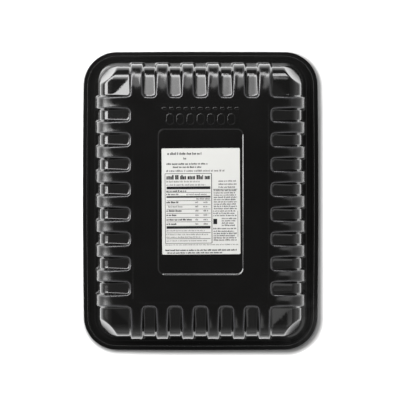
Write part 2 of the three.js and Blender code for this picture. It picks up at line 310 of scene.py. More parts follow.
def side_grid(long_side):
    """Places of half a side's rows: arrays (stations, rows) of s, u and z."""
    stations, ring, end, last_rib = side_stations(long_side)
    shift = 0.0 if long_side else SHORT_SHIFT
    pocket = pocket_curve(POCKET_END_X if long_side else POCKET_END_Y - SHORT_SHIFT)
    ring_u = RING_X if long_side else RING_Y
    fan_u = FAN[0] if long_side else FAN[1]
    pitch = LONG_PITCH if long_side else SHORT_PITCH
    ribs = LONG_RIBS if long_side else SHORT_RIBS
    rib_centres = [(i - (ribs - 1) / 2) * pitch for i in range(ribs)]
    drop = BASE_Z - rib_curve[:, 1]
    half = RIB_HALF + FOOT_WIDENING * rise(drop, WIDEN_START, WIDEN_REACH)
    side_ease = EASE + (WALL_EASE - EASE) * rise(drop, SOFTEN_START, SOFTEN_REACH)
    dish_part = rise(rib_curve[:, 0], PROFILE_START, DISH_REACH)
    dish_part = dish_part * rise(rib_curve[:, 1], DISH_FOOT, DISH_FADE)
    rows_s, rows_u, rows_z = [], [], []
    seam = [i for i, st in enumerate(stations) if st[0] == "flat" and st[1] == ring][0]
    seam_parts = 1 - np.square(np.linspace(1, 0, len(stations) - seam))
    for index, (kind, place, facing, split) in enumerate(stations):
        # Beyond the middle of a side's last rib lies the corner, elsewhere a pocket.
        at_end = (kind != "flat" and place == last_rib and facing > 0) or (
            kind == "flat" and place > last_rib
        )
        low = corner_curve if at_end else pocket
        low_u, low_z = low[:, 0].copy(), low[:, 1].copy()
        if at_end:
            mid = last_rib + RIB_HALF
            level = np.arange(CURVE_ROWS) < FLOOR_ROWS
            plan_x, plan_y = (low_u, mid) if long_side else (mid, low_u + shift)
            low_z = np.where(level, corner_floor(plan_x, plan_y), low_z)
        gap = np.hypot(rib_curve[:, 0] - low_u, rib_curve[:, 1] - low_z)
        ease = np.minimum(side_ease, END_EASE) if at_end else side_ease
        run = np.maximum(gap / FLANK_SLOPE, ease)
        if kind == "flank":
            straight, eased = split
            offset = straight * (run - ease) / 2 + eased * ease
            s = place + facing * (half + offset)
            out = offset
            centre = place
        elif kind == "top":
            s = place + facing * split * (half - (run + ease) / 2)
            out = np.abs(s - place) - half
            centre = place
        else:
            s = np.full(CURVE_ROWS, float(place))
            centre = min(rib_centres, key=lambda c: abs(c - place))
            out = abs(place - centre) - half
        if at_end:
            plan_x, plan_y = (low_u, s) if long_side else (s, low_u + shift)
            low_z = np.where(level, corner_floor(plan_x, plan_y), low_z)
        w = 1 - ramp(out, run, ease)
        across = np.clip(np.abs(s - centre) / (half - run / 2), 0, 1)
        sink = DISH * dish_part * (1 - across**2) ** 1.5
        u = low_u + w * (rib_curve[:, 0] - sink * rib_normals[:, 0] - low_u)
        z = low_z + w * (rib_curve[:, 1] - sink * rib_normals[:, 1] - low_z)
        # The base, from the inner ring or the corner's seam to where the profiles start
        lam = seam_parts[index - seam] if index >= seam else 0.0
        first_u = ring_u - shift + lam * (fan_u - ring_u)
        first_s = (ring + lam * (end - ring)) if index > seam else s[0]
        base_u = first_u + (PROFILE_START - first_u) * BASE_PLACES
        blend = np.minimum(BASE_PLACES / BASE_PLACES[BLEND_ROW], 1)
        base_s = first_s + (s[0] - first_s) * blend
        x, y = (base_u, base_s) if long_side else (base_s, base_u + shift)
        base_z = base_height(x, y, long_side)
        rows_s.append(np.concatenate([base_s[:-1], s]))
        rows_u.append(np.concatenate([base_u[:-1], u]) + shift)
        rows_z.append(np.concatenate([base_z[:-1], z]))
    return np.array(rows_s), np.array(rows_u), np.array(rows_z), seam


def column_reach(direction, half, radius):
    """How far rays from the fan centre run inside rounded rectangles of the given sizes."""
    low, high = np.zeros(len(half)), np.full(len(half), RAY_REACH)
    for _ in range(HALVINGS):
        mid = (low + high) / 2
        x, y = FAN[0] + direction[0] * mid, FAN[1] + direction[1] * mid
        inside = rounded_box(x, y, half, half + SHORT_SHIFT, radius) < 0
        low, high = np.where(inside, mid, low), np.where(inside, high, mid)
    return low


def corner_fan():
    """Rays from the fan centre over a corner: arrays (rays, rows) of x, y and z."""
    foot, radius = POCKET_WALL + FOOT_REACH, CORNER_ROUND + FOOT_REACH
    middle = np.array([foot - radius, foot + SHORT_SHIFT - radius])
    lengths = [middle[1] - FAN[1], radius * math.pi / 2, middle[0] - FAN[0]]
    rows_x, rows_y, rows_z = [], [], []
    fan_d = FAN.sum() / math.sqrt(2)
    base_u = FAN[0] + (PROFILE_START - FAN[0]) * BASE_PLACES[:-1]
    base_v = FAN[1] + (PROFILE_START + SHORT_SHIFT - FAN[1]) * BASE_PLACES[:-1]
    u, z = corner_curve[:, 0], corner_curve[:, 1]
    drop = CORNER_Z - z
    wall_top = corner_curve[FLOOR_ROWS + SHOULDER_ROWS - 2, 1]
    part = rise(drop, 0, CORNER_Z - wall_top) ** CORNER_POWER
    column_radius = CORNER_TIGHT + (CORNER_ROUND - CORNER_TIGHT) * part
    column_radius = column_radius + np.maximum(u - POCKET_WALL, 0)
    edge = FACET_EDGE - np.sqrt(np.square(FACET_EDGE) - np.square(np.clip(FACET_EDGE - drop, 0, None)))
    facet_d = FACET_D + drop * FACET_LEAN - edge
    for k in range(FAN_RAYS + 1):
        along = sum(lengths) * k / FAN_RAYS
        if along <= lengths[0]:
            target = np.array([foot, FAN[1] + along])
        elif along <= lengths[0] + lengths[1]:
            a = (along - lengths[0]) / radius
            target = middle + radius * np.array([math.cos(a), math.sin(a)])
        else:
            target = np.array([middle[0] - (along - lengths[0] - lengths[1]), foot + SHORT_SHIFT])
        direction = (target - FAN) / np.hypot(*(target - FAN))
        cos, sin = np.maximum(direction, 1e-9)
        tx, ty = (base_u - FAN[0]) / cos, (base_v - FAN[1]) / sin
        base_t = smooth_min(tx, ty, np.maximum(np.minimum(tx, ty) * RAY_BLEND, 1e-6))
        column = column_reach(direction, u, column_radius)
        facet = (facet_d - fan_d) * math.sqrt(2) / (cos + sin)
        t = smooth_min(column, facet, FACET_BLEND)
        ts = np.concatenate([base_t, t])
        xs, ys = FAN[0] + ts * direction[0], FAN[1] + ts * direction[1]
        zs = np.concatenate([np.zeros(BASE_ROWS - 1), z])
        level = np.arange(len(ts)) < BASE_ROWS - 1 + FLOOR_ROWS
        rows_x.append(xs)
        rows_y.append(ys)
        rows_z.append(np.where(level, corner_floor(xs, ys), zs))
    return np.array(rows_x), np.array(rows_y), np.array(rows_z)


def flange_distance(x, y, inset):
    """Signed distance to the flange's bowed outline, set in by the inset; positive outside."""
    ax, ay = np.abs(x), np.abs(y)
    part_y = np.minimum(ay / (HALF_Y - FLANGE_R), 1)
    part_x = np.minimum(ax / (HALF_X - FLANGE_R), 1)
    local_x = HALF_X - inset - BOW_X * part_y**2
    local_y = HALF_Y - inset - BOW_Y * part_x**2
    return rounded_box(ax, ay, local_x, local_y, FLANGE_R - inset)


def cast(origin, direction, distance, far=RAY_REACH):
    """Where rays from inside first leave an outline, by halving."""
    low = np.zeros(len(origin))
    high = np.full(len(origin), far)
    for _ in range(HALVINGS):
        mid = (low + high) / 2
        p = origin + direction * mid[:, None]
        inside = distance(p[:, 0], p[:, 1]) < 0
        low = np.where(inside, mid, low)
        high = np.where(inside, high, mid)
    return origin + direction * low[:, None]


def tray_grid():
    """All stations round the tray, each a row of points from the inner ring to the ledge."""
    loops, directions, ring_mask = [], [], []
    long_side, short_side = side_grid(True), side_grid(False)
    fan_x, fan_y, fan_z = corner_fan()

    def add(points, direction, on_ring):
        loops.append(points)
        directions.append(direction)
        ring_mask.append(on_ring)

    def add_side(side, turn_u, turn_s):
        s, u, z, seam = side
        forward = list(range(len(s)))
        # A station on the middle line isn't repeated.
        backward = forward[:0:-1] if s[0][0] == 0 else forward[::-1]
        for sign, indices in ((-1, backward), (1, forward)):
            for i in indices:
                pts = np.outer(u[i], turn_u) + np.outer(sign * s[i], turn_s)
                add(np.column_stack([pts, z[i]]), np.array(turn_u, float), i <= seam)

    def add_fan(sx, sy, backwards):
        rays = range(1, len(fan_x) - 1)
        for i in (reversed(rays) if backwards else rays):
            pts = np.column_stack([sx * fan_x[i], sy * fan_y[i], fan_z[i]])
            ray = pts[-1, :2] - pts[0, :2]
            add(pts, ray / np.hypot(*ray), False)

    add_side(long_side, (1, 0), (0, 1))
    add_fan(1, 1, False)
    add_side(short_side, (0, 1), (-1, 0))
    add_fan(-1, 1, True)
    add_side(long_side, (-1, 0), (0, -1))
    add_fan(-1, -1, False)
    add_side(short_side, (0, -1), (1, 0))
    add_fan(1, -1, True)
    return np.array(loops), np.array(directions), np.array(ring_mask)


def panel_loop(ring, grow, z):
    """A rounded rectangle with one point for each point of the inner ring, matched by place."""
    hx, hy, r = PANEL_X + grow, PANEL_Y + grow, PANEL_R + grow
    out = []
    for x, y in ring:
        on_long = abs(x) / RING_X >= abs(y) / RING_Y
        a, b = (hy - r, hx - r) if on_long else (hx - r, hy - r)
        part = abs(y) / RING_Y if on_long else abs(x) / RING_X
        path = part * (a + r * math.pi / 4)
        if path <= a:
            u, s = b + r, path
        else:
            angle = (path - a) / r
            u, s = b + r * math.cos(angle), a + r * math.sin(angle)
        px, py = (u, s) if on_long else (s, u)
        out.append((math.copysign(px, x), math.copysign(py, y), z))
    return np.array(out)


def add_loop(vertices, loop):
    vertices.append(loop)
    return sum(len(v) for v in vertices[:-1])


def strip(faces, a, b, count):
    for i in range(count):
        j = (i + 1) % count
        faces.append((a + i, a + j, b + j, b + i))


def add_block(vertices, faces, x, y, hx, hy, r, levels, count=40):
    """A closed block with a rounded outline, through levels of (inset, height) from low to high."""
    loops = []
    for inset, z in levels:
        a = 2 * math.pi * (np.arange(count) + 0.5) / count
        cos, sin = np.cos(a), np.sin(a)
        xs = x + np.copysign(hx - r, cos) + (r - inset) * cos
        ys = y + np.copysign(hy - r, sin) + (r - inset) * sin
        loops.append(add_loop(vertices, np.column_stack([xs, ys, np.full(count, z)])))
    for a, b in zip(loops, loops[1:]):
        strip(faces, a, b, count)
    for start, z in ((loops[0], levels[0][1]), (loops[-1], levels[-1][1])):
        middle = add_loop(vertices, np.array([[x, y, z]]))
        for i in range(count):
            faces.append((start + i, start + (i + 1) % count, middle))


BOX_FACES = [(0, 1, 3, 2), (4, 6, 7, 5), (0, 4, 5, 1), (2, 3, 7, 6), (0, 2, 6, 4), (1, 5, 7, 3)]


def add_box(vertices, faces, xs, ys, zs):
    k = len(vertices)
    vertices += [(x, y, z) for z in zs for x in xs for y in ys]
    faces += [tuple(k + i for i in face) for face in BOX_FACES]


def make_mesh(name, vertices, faces, weld=1e-6):
    """A piece from points in mm; points closer together than the weld, in metres, are joined."""
    mesh = bpy.data.meshes.new(name)
    mesh.from_pydata([tuple(c * MM for c in v) for v in vertices], [], faces)
    work = bmesh.new()
    work.from_mesh(mesh)
    bmesh.ops.remove_doubles(work, verts=work.verts, dist=weld)
    bmesh.ops.recalc_face_normals(work, faces=work.faces)
    work.to_mesh(mesh)
    work.free()
    piece = bpy.data.objects.new(name, mesh)
    bpy.context.scene.collection.objects.link(piece)
    return piece


def smooth(piece, degrees):
    """Smooth shading, but sharp where faces meet at more than the given angle."""
    piece.data.shade_smooth()
    piece.data.set_sharp_from_angle(angle=math.radians(degrees))


# The ribs' duller plastic: its share on the short sides, and how it sets in outward and upward
SHORT_SHARE = 0.4
DULL_OUT, DULL_OUT_REACH = rib_curve[FLOOR_ROWS - 1, 0] - 2, 4
DULL_UP, DULL_UP_REACH = 10, 10
# Painted highlights along the pockets' edges: how far they are at full strength, as a share, and how
# they set in upward
PAINTED_HIGHLIGHT_CORE = 0.15
PAINTED_HIGHLIGHT_UP, PAINTED_HIGHLIGHT_UP_REACH = 30, 4


def mark_forms(mesh):
    """For the material, from 0 to 1: where a rib stretched the plastic, and painted highlights along the
    edges of the pockets.
    """
    places = np.empty(3 * len(mesh.vertices))
    mesh.vertices.foreach_get("co", places)
    x, y, z = np.abs(places.reshape(-1, 3).T) / MM
    on_short = y - SHORT_SHIFT > x
    u, s = np.where(on_short, y - SHORT_SHIFT, x), np.where(on_short, x, y)
    pitch = np.where(on_short, SHORT_PITCH, LONG_PITCH)
    half_count = np.where(on_short, SHORT_RIBS - 1, LONG_RIBS - 1) / 2
    end = np.where(on_short, POCKET_END_Y - SHORT_SHIFT, POCKET_END_X)
    away = np.abs((s / pitch - half_count % 1 + 0.5) % 1 - 0.5) * pitch
    among_ribs = s < half_count * pitch + RIB_HALF
    rib = np.where(on_short, SHORT_SHARE, 1.0) * rise(RIB_HALF - away, 0, 1) * among_ribs
    rib = rib * rise(u, DULL_OUT, DULL_OUT_REACH) * rise(z, DULL_UP, DULL_UP_REACH)
    depth = POCKET_END_DEPTH + np.maximum(u - end, 0) * POCKET_SLOPE
    pocket = box_distance(u, away - RIB_HALF, end, 0, PLAN_ROUND) + depth / 2 / FLANK_SLOPE
    depth = BASE_Z - corner_floor(x, y)
    corner = box_distance(x, y, CORNER_X, CORNER_Y, PLAN_ROUND) + depth / 2 / FLANK_SLOPE
    off_edge = np.minimum(np.where(among_ribs, np.abs(pocket), np.inf), np.abs(corner))
    # Painted highlight: a band along each pocket's edge, high on the base, where the colour is lightened
    edge = np.clip(1 + PAINTED_HIGHLIGHT_CORE - off_edge / EDGE_HALF, 0, 1) * rise(z, PAINTED_HIGHLIGHT_UP, PAINTED_HIGHLIGHT_UP_REACH)
    for name, values in (("rib", rib), ("edge", edge)):
        mesh.attributes.new(name, "FLOAT", "POINT").data.foreach_set("value", values)


def make_tray():
    loops, directions, on_ring = tray_grid()
    count = len(loops)
    vertices, faces = [], []
    rows = [loops[:, r, :] for r in range(loops.shape[1])]
    foot = loops[:, -1, :2]

    def outline(distance, z):
        xy = cast(foot, directions, distance)
        rows.append(np.column_stack([xy, np.full(count, z)]))

    def flange(inset):
        return lambda x, y: flange_distance(x, y, inset)

    def ledge(grow):
        half, radius = LEDGE_X + grow, LEDGE_R + grow
        return lambda x, y: rounded_box(x, y, half, half + SHORT_SHIFT, radius)

    # Where a rib's foot reaches past the ledge, it goes straight down to the flange.
    for k, (grow, z) in enumerate(LEDGE_EDGE):
        outline(ledge(grow), z)
        rows[-1][:, :2] += OUTLINE_STEP * (k + 1) * directions
    for inset, z in RIM_SHAPE:
        outline(flange(inset), z)
    outline(flange(UNDER_INSET), UNDER_Z)
    starts = [add_loop(vertices, row) for row in rows]
    for a, b in zip(starts, starts[1:]):
        strip(faces, a, b, count)
    # Underside, closed towards the middle
    under = rows[-1].copy()
    under[:, :2] *= UNDER_MIDDLE
    start = add_loop(vertices, under)
    strip(faces, starts[-1], start, count)
    middle = add_loop(vertices, np.array([[0, 0, UNDER_Z]]))
    for i in range(count):
        faces.append((start + i, start + (i + 1) % count, middle))
    # Base inside the inner ring, with its sunk panel
    ring_index = [i for i in range(count) if on_ring[i]]
    ring = rows[0][ring_index]
    ring_z = ring[:, 2].mean()
    n = len(ring)
    loops_in = []
    outer = panel_loop(ring[:, :2], PANEL_EDGE, ring_z)
    for part in RING_PARTS:
        loops_in.append(ring * (1 - part) + outer * part)
    for part in PANEL_PARTS:
        grow = part * PANEL_EDGE
        z = ring_z - PANEL_DEPTH * (1 - float(ramp(np.array(grow), PANEL_RUN, PANEL_EASE)))
        loops_in.append(panel_loop(ring[:, :2], grow, z))
    inner = panel_loop(ring[:, :2], -PANEL_EDGE, ring_z - PANEL_DEPTH)
    inner[:, :2] *= PANEL_MIDDLE
    loops_in.append(inner)
    previous = [starts[0] + i for i in ring_index]
    for loop in loops_in:
        start = add_loop(vertices, loop)
        current = [start + i for i in range(n)]
        for i in range(n):
            j = (i + 1) % n
            faces.append((previous[i], previous[j], current[j], current[i]))
        previous = current
    middle = add_loop(vertices, np.array([[0, 0, ring_z - PANEL_DEPTH]]))
    for i in range(n):
        faces.append((previous[i], previous[(i + 1) % n], middle))
    tray = make_mesh("tray_shell", np.concatenate(vertices), faces)
    mark_forms(tray.data)
    smooth(tray, 34)
    return tray


# The tray itself, one shell from the base to under the flange
tray = make_tray()
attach(tray, "root")
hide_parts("tray")


def node_material(name):
    material = bpy.data.materials.new(name)
    material.use_nodes = True
    tree = material.node_tree
    return material, tree, tree.nodes["Principled BSDF"]


def link(tree, a, b):
    tree.links.new(a, b)


def noise(tree, scale, detail, where):
    """Noise by place on the piece; where is the Texture Coordinate node."""
    node = tree.nodes.new("ShaderNodeTexNoise")
    node.inputs["Scale"].default_value = scale
    node.inputs["Detail"].default_value = detail
    link(tree, where.outputs["Object"], node.inputs["Vector"])
    return node


def mapped(tree, source, low, high, to_low, to_high):
    node = tree.nodes.new("ShaderNodeMapRange")
    node.inputs["From Min"].default_value = low
    node.inputs["From Max"].default_value = high
    node.inputs["To Min"].default_value = to_low
    node.inputs["To Max"].default_value = to_high
    link(tree, source, node.inputs["Value"])
    return node.outputs["Result"]


def stops(tree, source, places):
    """A grey that changes with a value from 0 to 1, given at a few places."""
    node = tree.nodes.new("ShaderNodeValToRGB")
    for _ in places[2:]:
        node.color_ramp.elements.new(0.5)
    for element, (place, grey) in zip(node.color_ramp.elements, places):
        element.position = place
        element.color = (grey, grey, grey, 1)
    link(tree, source, node.inputs["Fac"])
    return node.outputs["Color"]


def mixed(tree, factor, a, b):
    node = tree.nodes.new("ShaderNodeMix")
    node.data_type = "RGBA"
    node.inputs["A"].default_value = (*a, 1)
    node.inputs["B"].default_value = (*b, 1)
    link(tree, factor, node.inputs["Factor"])
    return node.outputs["Result"]


def clouded_material(name, scale, detail, dark, light, roughness, specular=0.5):
    """A material whose colour drifts between two tones by place."""
    material, tree, shader = node_material(name)
    cloud = noise(tree, scale, detail, tree.nodes.new("ShaderNodeTexCoord"))
    link(tree, mixed(tree, cloud.outputs["Fac"], dark, light), shader.inputs["Base Color"])
    shader.inputs["Roughness"].default_value = roughness
    shader.inputs["Specular IOR Level"].default_value = specular
    return material


def plastic_material():
    material, tree, shader = node_material("black_plastic")
    where = tree.nodes.new("ShaderNodeTexCoord")
    cloud = noise(tree, 45, 3, where)
    black = mixed(tree, cloud.outputs["Fac"], (0.0027, 0.0026, 0.0025), (0.0041, 0.004, 0.0039))
    # Painted highlights: the plastic's colour is lightened along the pockets' edges
    edges = tree.nodes.new("ShaderNodeAttribute")
    edges.attribute_name = "edge"
    painted_highlight_colour = mixed(tree, edges.outputs["Fac"], (0, 0, 0), (0.034, 0.034, 0.036))
    link(tree, black, painted_highlight_colour.node.inputs["A"])
    link(tree, painted_highlight_colour, shader.inputs["Base Color"])
    haze = noise(tree, 22, 2, where)
    gloss = mapped(tree, haze.outputs["Fac"], 0.3, 0.7, 0.09, 0.12)
    ribs = tree.nodes.new("ShaderNodeAttribute")
    ribs.attribute_name = "rib"
    dull = tree.nodes.new("ShaderNodeMath")
    dull.operation = "MULTIPLY_ADD"
    link(tree, ribs.outputs["Fac"], dull.inputs[0])
    dull.inputs[1].default_value = 0.24
    link(tree, gloss, dull.inputs[2])
    link(tree, dull.outputs["Value"], shader.inputs["Roughness"])
    shader.inputs["IOR"].default_value = 1.6
    wave = noise(tree, 90, 1, where)
    bump = tree.nodes.new("ShaderNodeBump")
    bump.inputs["Strength"].default_value = 0.25
    bump.inputs["Distance"].default_value = 0.0003
    link(tree, wave.outputs["Fac"], bump.inputs["Height"])
    link(tree, bump.outputs["Normal"], shader.inputs["Normal"])
    return material


tray.data.materials.append(plastic_material())

# Closing film: sealed flat to the flange, a little slack inside the seal
SEAL_WIDTH, FILM_T, FILM_RAYS = 8.0, 0.05, 360
FILM_RISE, FILM_RIPPLE = 0.12, 0.05
SLACK_RUN, SLACK_EASE = 1.2, 0.8
FILM_INSETS = [0.6, 3.0, 6.6, 7.2, 7.6, 8.0, 8.4, 8.8, 9.4, 12.0, 15.0, 18.0]


def film_height(x, y, inset):
    slack = ramp(np.full(len(x), inset - SEAL_WIDTH), SLACK_RUN, SLACK_EASE)
    ripple = np.sin(0.23 * x + 1.3 * np.sin(0.07 * y)) * np.sin(0.19 * y + 0.9 * np.sin(0.06 * x))
    return slack * (FILM_RISE + FILM_RIPPLE * ripple)


def make_film():
    angles = np.linspace(0, 2 * math.pi, FILM_RAYS, endpoint=False)
    directions = np.stack([np.cos(angles), np.sin(angles)], 1)
    origin = np.zeros((FILM_RAYS, 2))
    vertices, faces = [], []
    outlines = []
    for inset in FILM_INSETS:
        xy = cast(origin, directions, lambda x, y: flange_distance(x, y, inset), FILM_REACH)
        outlines.append((xy, inset))
    outlines += [(outlines[-1][0] * part, SEAL_WIDTH * 2) for part in np.arange(0.96, 0.05, -0.04)]
    sides = []
    for lift in (0.0, FILM_T):
        starts = []
        for xy, inset in outlines:
            z = film_height(xy[:, 0], xy[:, 1], inset) + lift
            starts.append(add_loop(vertices, np.column_stack([xy, z])))
        for a, b in zip(starts, starts[1:]):
            strip(faces, a, b, FILM_RAYS)
        middle = add_loop(vertices, np.array([[0, 0, FILM_RISE + lift]]))
        for i in range(FILM_RAYS):
            faces.append((starts[-1] + i, starts[-1] + (i + 1) % FILM_RAYS, middle))
        sides.append(starts[0])
    rim = outlines[0][0] + OUTLINE_STEP * directions
    edge = add_loop(vertices, np.column_stack([rim, np.full(FILM_RAYS, FILM_T / 2)]))
    strip(faces, sides[0], edge, FILM_RAYS)
    strip(faces, edge, sides[1], FILM_RAYS)
    piece = make_mesh("closing_film", np.concatenate(vertices), faces)
    smooth(piece, 40)
    return piece


film = make_film()
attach(film, "root")
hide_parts("lid_film")
film_greys = (0.27, 0.28, 0.29), (0.33, 0.34, 0.35)
film.data.materials.append(clouded_material("satin_film", 30, 3, *film_greys, 0.3))

# Paper label
LABEL_W, LABEL_H, LABEL_T = 58.2, 79.0, 0.14
LABEL_R, LABEL_GAP, LABEL_EDGE = 0.9, 0.01, 0.02
LABEL_X, LABEL_Y, LABEL_TURN = 0.3, 0.3, math.radians(0.4)
LABEL_Z = BASE_Z - CONTOUR_STEP - PANEL_DEPTH + LABEL_GAP
label_points, label_faces = [], []
add_block(
    label_points, label_faces, 0, 0, LABEL_W / 2, LABEL_H / 2, LABEL_R,
    [(0.0, 0.0), (0.0, LABEL_T - LABEL_EDGE), (LABEL_EDGE, LABEL_T)],
)
label = make_mesh("paper_label", np.concatenate(label_points), label_faces)
label.location = (LABEL_X * MM, LABEL_Y * MM, LABEL_Z * MM)
label.rotation_euler[2] = LABEL_TURN
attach(label, "root")
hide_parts("base_label")
paper_whites = (0.4, 0.4, 0.385), (0.43, 0.43, 0.415)
label.data.materials.append(clouded_material("white_paper", 60, 4, *paper_whites, 0.6))

# Print on the label: bars, rules and rows of small blocks, no lettering. Its places are in mm from
# the label's left edge, and down from a line a little above the label's upper edge.
PRINT_RISE, PRINT_SINK, PRINT_UP = 0.012, 0.03, 0.4
# Rows of small blocks: down, start, end, block height, block width, coverage
TEXT_ROWS = [
    (4.3, 4.3, 29.6, 1.8, 0.8, 0.72),
    (7.9, 16.2, 18.6, 1.6, 0.75, 0.7),
    (11.9, 3.5, 34.1, 1.3, 0.7, 0.8),
    (14.3, 8.3, 29.5, 1.3, 0.7, 0.8),
    (17.1, 3.4, 46.6, 1.4, 0.8, 0.6),
    (21.9, 3.5, 35.9, 3.3, 1.3, 0.84),
    (25.1, 3.5, 28.5, 1.3, 0.6, 0.5),
    (27.5, 3.5, 32.5, 1.3, 0.6, 0.5),
    (32.1, 3.3, 18.2, 1.25, 0.62, 0.8),
    (34.6, 3.3, 12.4, 1.15, 0.6, 0.75),
    (34.6, 18.3, 33.8, 1.3, 0.6, 0.55),
    (38.0, 25.7, 35.8, 1.0, 0.6, 0.75),
    (40.5, 3.3, 12.2, 1.3, 0.66, 0.85),
    (43.7, 4.8, 15.6, 1.3, 0.6, 0.55),
    (46.8, 3.3, 15.2, 1.3, 0.66, 0.85),
    (50.0, 3.3, 10.7, 1.3, 0.66, 0.85),
    (53.4, 3.3, 23.0, 1.3, 0.66, 0.85),
    (56.6, 3.3, 10.7, 1.3, 0.66, 0.85),
    (61.6, 3.2, 32.0, 1.1, 0.6, 0.5),
    (64.5, 3.2, 34.2, 1.0, 0.55, 0.55),
    (66.4, 3.2, 28.5, 1.0, 0.55, 0.55),
    (69.1, 3.2, 33.5, 1.0, 0.55, 0.55),
    (72.1, 2.4, 57.2, 1.0, 0.55, 0.5),
    (76.1, 2.3, 55.6, 1.25, 0.6, 0.85),
    (78.1, 3.7, 44.6, 1.2, 0.6, 0.8),
]
COUNT_ROWS = (40.5, 43.7, 46.8, 50.0, 53.4, 56.6)
COUNT_PLACES = ((24.9, 27.2), (30.9, 34.3))
SIDE_COLUMN = (38.0, 56.0)
# Block height, block width and coverage in these rows
COUNT_TYPE, SIDE_TYPE = (1.3, 0.6, 0.6), (1.15, 0.55, 0.68)
# Rows of the right-hand column: down, and how far in they start
SIDE_ROWS = [(24.8, 4.2), (27.1, 4.2), (29.4, 4.2)]
SIDE_ROWS += [(31.9 + 1.68 * i, 0.6) for i in range(9)]
SIDE_ROWS += [(47.1, 0.0), (48.8, 0.0), (50.5, 0.0)]
SIDE_ROWS += [(52.7, 6.4), (54.4, 6.4), (56.1, 6.4), (57.8, 6.4), (60.2, 0.0)]
SIDE_ROWS += [(62.2 + 1.62 * i, 0.3) for i in range(5)]
# Solid bars and rules: down, start, end, height
BARS = [
    (29.8, 3.5, 36.2, 2.0), (36.5, 3.4, 36.2, 1.25), (59.2, 3.3, 36.0, 2.0),
    (19.2, 2.4, 37.0, 0.38), (71.0, 2.2, 36.9, 0.38), (33.15, 3.4, 36.2, 0.36),
    (63.2, 3.3, 36.1, 0.36), (67.6, 3.2, 36.0, 0.36), (31.0, 38.2, 56.2, 0.4),
] + [(39.3 + 3.15 * i, 3.4, 36.2, 0.34) for i in range(6)]
# Upright rules and the small square: across, top, bottom, width
UPRIGHTS = [
    (2.45, 19.2, 71.0, 0.38), (37.1, 19.2, 71.0, 0.5), (56.4, 47.1, 66.4, 0.3), (39.6, 53.0, 56.9, 2.9),
]


def print_blocks():
    """All printed blocks as (left, top, right, bottom)."""
    draw = random.Random(7)
    blocks = []
    rows = list(TEXT_ROWS)
    rows += [(down, a, b, *COUNT_TYPE) for down in COUNT_ROWS for a, b in COUNT_PLACES]
    for down, a in SIDE_ROWS:
        rows.append((down, SIDE_COLUMN[0] + a, SIDE_COLUMN[1] - draw.uniform(0, 2.4), *SIDE_TYPE))
    for down, start, end, height, width, cover in rows:
        at, left_in_word = start, draw.randint(2, 7)
        while at < end - 0.3 * width:
            wide = width * draw.uniform(0.6, 1.15) * cover
            tall = height * draw.choice((0.72, 0.72, 0.8, 1.0))
            blocks.append((at, down + height / 2 - tall, min(at + wide, end), down + height / 2))
            at += wide + width * (1 - cover) * draw.uniform(0.7, 1.3)
            left_in_word -= 1
            if left_in_word == 0:
                at += 0.75 * width
                left_in_word = draw.randint(2, 8)
    blocks += [(a, down - height / 2, b, down + height / 2) for down, a, b, height in BARS]
    blocks += [(across - width / 2, a, across + width / 2, b) for across, a, b, width in UPRIGHTS]
    return blocks


def make_print():
    vertices, faces = [], []
    for left, top, right, bottom in print_blocks():
        xs = (left - LABEL_W / 2, right - LABEL_W / 2)
        ys = (LABEL_H / 2 - bottom + PRINT_UP, LABEL_H / 2 - top + PRINT_UP)
        add_box(vertices, faces, xs, ys, (LABEL_T - PRINT_SINK, LABEL_T + PRINT_RISE))
    return make_mesh("label_print", vertices, faces, weld=0)


print_piece = make_print()
print_piece.location = label.location
print_piece.rotation_euler = label.rotation_euler
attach(print_piece, "root")
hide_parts("base_label")
ink_blacks = (0.002, 0.002, 0.002), (0.014, 0.014, 0.015)
print_piece.data.materials.append(clouded_material("dark_ink", 700, 2, *ink_blacks, 0.55, 0.1))

# Plain raised marks moulded in the base: a row of small pills over a row of larger ones
MARK_RISE, MARK_SINK, MARK_EASE = 0.13, 0.2, 0.16
SMALL_MARKS = [(i * 5.4, 69.4, 1.7, 1.0, 0.95) for i in range(-5, 6)]
LARGE_MARKS = [(i * 7.6, 61.5, 2.75, 4.1, 2.6) for i in range(-3, 4)]


def make_marks():
    z0 = BASE_Z - CONTOUR_STEP
    levels = [
        (-0.02, z0 - MARK_SINK), (-0.02, z0), (0.03, z0 + 0.35 * MARK_RISE),
        (0.1, z0 + 0.85 * MARK_RISE), (MARK_EASE, z0 + MARK_RISE), (3 * MARK_EASE, z0 + MARK_RISE),
    ]
    vertices, faces = [], []
    for x, y, hx, hy, r in SMALL_MARKS + LARGE_MARKS:
        add_block(vertices, faces, x, y, hx, hy, r, levels)
    piece = make_mesh("base_marks", np.concatenate(vertices), faces)
    smooth(piece, 50)
    return piece


marks = make_marks()
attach(marks, "root")
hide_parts("tray")
marks.data.materials.append(tray.data.materials[0])

# Floor with painted light: a painted shadow makes its colour darker close to the pack, and a painted
# glow lights it a little way off it
FLOOR_HALF, FLOOR_T, FLOOR_GAP = 2500, 20, 0.02
GLOW_SHIFT, GLOW_END = 1.4, 300
# Strength of the painted glow, and below it the floor's colour with its painted shadow, by share of the
# distance
PAINTED_GLOW_STOPS = [
    (0.0, 0.0), (0.01, 0.35), (0.018, 1.1), (0.028, 1.5), (0.07, 1.5),
    (0.12, 0.4), (0.3, 0.28), (0.55, 0.0),
]
FLOOR_PAINTED_SHADOW_STOPS = [(0.0, 0.3), (0.006, 0.55), (0.016, 0.94), (0.3, 0.94), (0.6, 0.5), (1.0, 0.4)]


def vector_math(tree, operation, value, other=(0, 0, 0)):
    """A step of arithmetic on vectors; the result is a vector, and for LENGTH a number."""
    node = tree.nodes.new("ShaderNodeVectorMath")
    node.operation = operation
    link(tree, value, node.inputs[0])
    node.inputs[1].default_value = other
    return node.outputs["Value" if operation == "LENGTH" else "Vector"]


